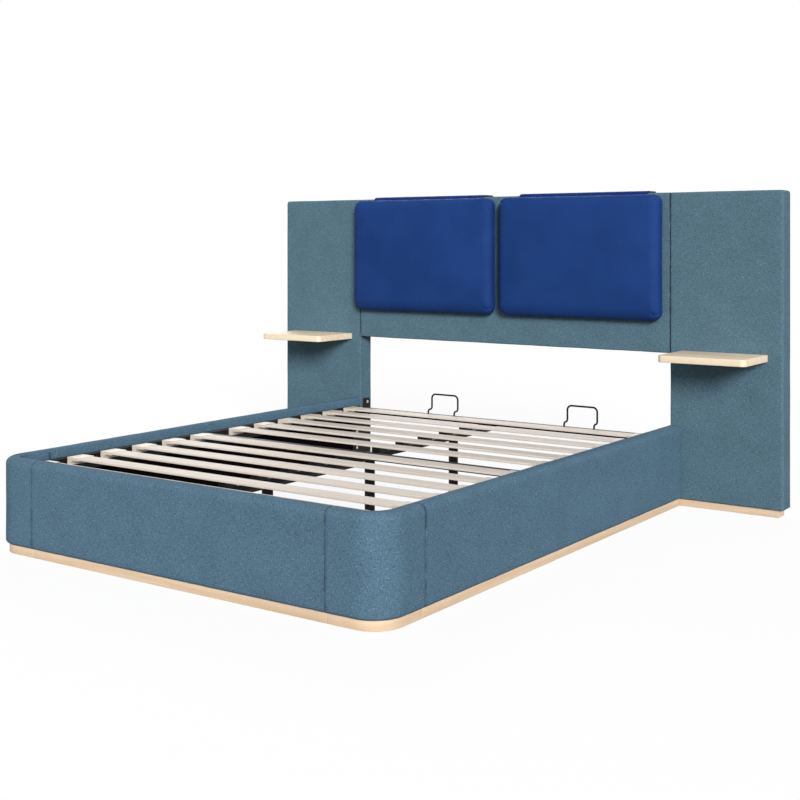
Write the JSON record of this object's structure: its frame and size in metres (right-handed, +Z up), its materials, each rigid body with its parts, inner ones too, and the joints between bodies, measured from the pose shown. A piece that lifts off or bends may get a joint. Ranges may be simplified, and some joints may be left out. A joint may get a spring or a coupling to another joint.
{
  "type": "upholstered platform bed",
  "caption": "Low upholstered platform bed on an oak plinth, with a wide winged headboard, floating bedside shelves, hanging backrest cushions and a slatted steel base.",
  "frame": {"origin": "on the floor, at the centre of the bed's footprint", "axes": "+Z up, +Y from the foot to the headboard, +X along the headboard to the right as seen from the foot"},
  "size_m": [2.566, 2.2066, 1.3135],
  "materials": {
    "upholstery": "teal-blue woven cloth with a fine mottled weave",
    "black_cloth": "near-black non-woven lining",
    "blue_leather": "smooth royal-blue leather, soft sheen",
    "navy_flap": "smooth navy leather",
    "oak": "pale matt oak",
    "beech": "pale sanded beech plywood",
    "timber": "unfinished board and softwood",
    "black_timber": "softwood painted matt black",
    "black_steel": "black powder coat",
    "zinc": "zinc-plated steel",
    "beige_plastic": "beige moulded plastic",
    "black_plastic": "black moulded plastic"
  },
  "bodies": {
    "bed": {"foot_rail_board": "timber", "foot_rail_cover": "upholstery", "side_rail_board_left": "timber", "side_rail_board_right": "timber", "side_rail_cover_left": "upholstery", "side_rail_cover_right": "upholstery", "corner_board_left": "timber", "corner_board_right": "timber", "corner_cover_left": "upholstery", "corner_cover_right": "upholstery", "plinth_foot": "oak", "plinth_left": "oak", "plinth_right": "oak", "plinth_corner_left": "oak", "plinth_corner_right": "oak", "rail_lining": "black_cloth", "ledges": "black_timber", "corner_plates": "black_steel", "head_brackets": "black_steel", "wing_core_left": "timber", "wing_core_right": "timber", "wing_cover_left": "upholstery", "wing_cover_right": "upholstery", "wing_plinth_left": "oak", "wing_plinth_right": "oak", "panel_core": "timber", "panel_cover": "upholstery", "back_cloth": "black_cloth", "panel_cleats": "black_steel", "shelf_left": "oak", "shelf_right": "oak", "shelf_rods": "zinc", "frame_tube_left": "black_steel", "frame_tube_right": "black_steel", "cross_tube_foot": "black_steel", "cross_tube_mid": "black_steel", "cross_tube_head": "black_steel", "centre_beam": "black_steel", "centre_legs": "black_steel", "leg_feet": "black_plastic", "slat_holders": "beige_plastic", "slat_saddles": "black_plastic", "slat_01": "beech", "slat_02": "beech", "slat_03": "beech", "slat_04": "beech", "slat_05": "beech", "slat_06": "beech", "slat_07": "beech", "slat_08": "beech", "slat_09": "beech", "slat_10": "beech", "slat_11": "beech", "slat_12": "beech", "mattress_hoops": "black_steel", "bolts": "zinc"},
    "cushion_left_body": {"cushion_left": "blue_leather", "flap_left": "navy_flap"},
    "cushion_right_body": {"cushion_right": "blue_leather", "flap_right": "navy_flap"}
  },
  "joints": [
    {"name": "cushion_left_slide", "type": "slide", "parent": "bed", "child": "cushion_left_body", "axis": [1, 0, 0], "range_m": [-0.45, 0.018]},
    {"name": "cushion_right_slide", "type": "slide", "parent": "bed", "child": "cushion_right_body", "axis": [1, 0, 0], "range_m": [-0.018, 0.45]}
  ]
}
